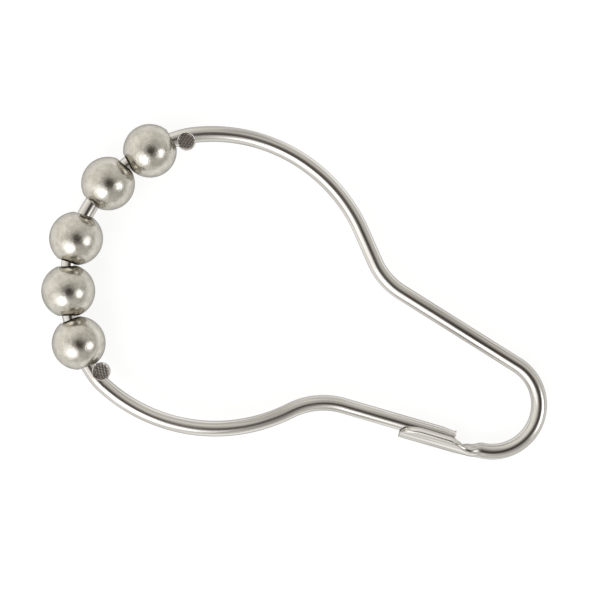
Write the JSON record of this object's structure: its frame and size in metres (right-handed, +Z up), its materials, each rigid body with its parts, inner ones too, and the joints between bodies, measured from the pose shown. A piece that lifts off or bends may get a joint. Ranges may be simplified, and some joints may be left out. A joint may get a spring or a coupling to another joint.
{
  "type": "shower curtain hook",
  "caption": "Sprung wire curtain hook: a wide rod loop that rolls on hollow metal beads, and a small curtain loop closed by a trough that catches the free end.",
  "frame": {"origin": "middle of the footprint on the table, with the hook lying flat as it comes to rest on its two end beads and the lip of its trough", "axes": "+X along the hook from the beads to the curtain loop, +Y across it to the closed upper leg, +Z up out of the loop"},
  "size_m": [0.079, 0.0464, 0.0082],
  "materials": {
    "bright_nickel_wire": "bright warm nickel plate on drawn spring steel wire",
    "satin_nickel_bead": "satin warm nickel plate on thin pressed steel"
  },
  "bodies": {
    "hook": {"hook_wire": "bright_nickel_wire"},
    "bead_1": {"roller_bead_1": "satin_nickel_bead"},
    "bead_2": {"roller_bead_2": "satin_nickel_bead"},
    "bead_3": {"roller_bead_3": "satin_nickel_bead"},
    "bead_4": {"roller_bead_4": "satin_nickel_bead"},
    "bead_5": {"roller_bead_5": "satin_nickel_bead"}
  },
  "joints": [
    {"name": "bead_1_spin", "type": "hinge", "parent": "hook", "child": "bead_1", "pos_m": [-0.03066, 0.01396, 0.004], "axis": [-0.6175, -0.7863, 0.0214], "continuous": true},
    {"name": "bead_2_spin", "type": "hinge", "parent": "hook", "child": "bead_2", "pos_m": [-0.03439, 0.00702, 0.00413], "axis": [-0.3156, -0.9488, 0.0119], "continuous": true},
    {"name": "bead_3_spin", "type": "hinge", "parent": "hook", "child": "bead_3", "pos_m": [-0.03547, -0.00233, 0.00419], "axis": [0.0911, -0.9958, -0.0011], "continuous": true},
    {"name": "bead_4_spin", "type": "hinge", "parent": "hook", "child": "bead_4", "pos_m": [-0.03342, -0.00994, 0.00413], "axis": [0.422, -0.9065, -0.0119], "continuous": true},
    {"name": "bead_5_spin", "type": "hinge", "parent": "hook", "child": "bead_5", "pos_m": [-0.02892, -0.01641, 0.004], "axis": [0.7033, -0.7106, -0.0214], "continuous": true}
  ]
}
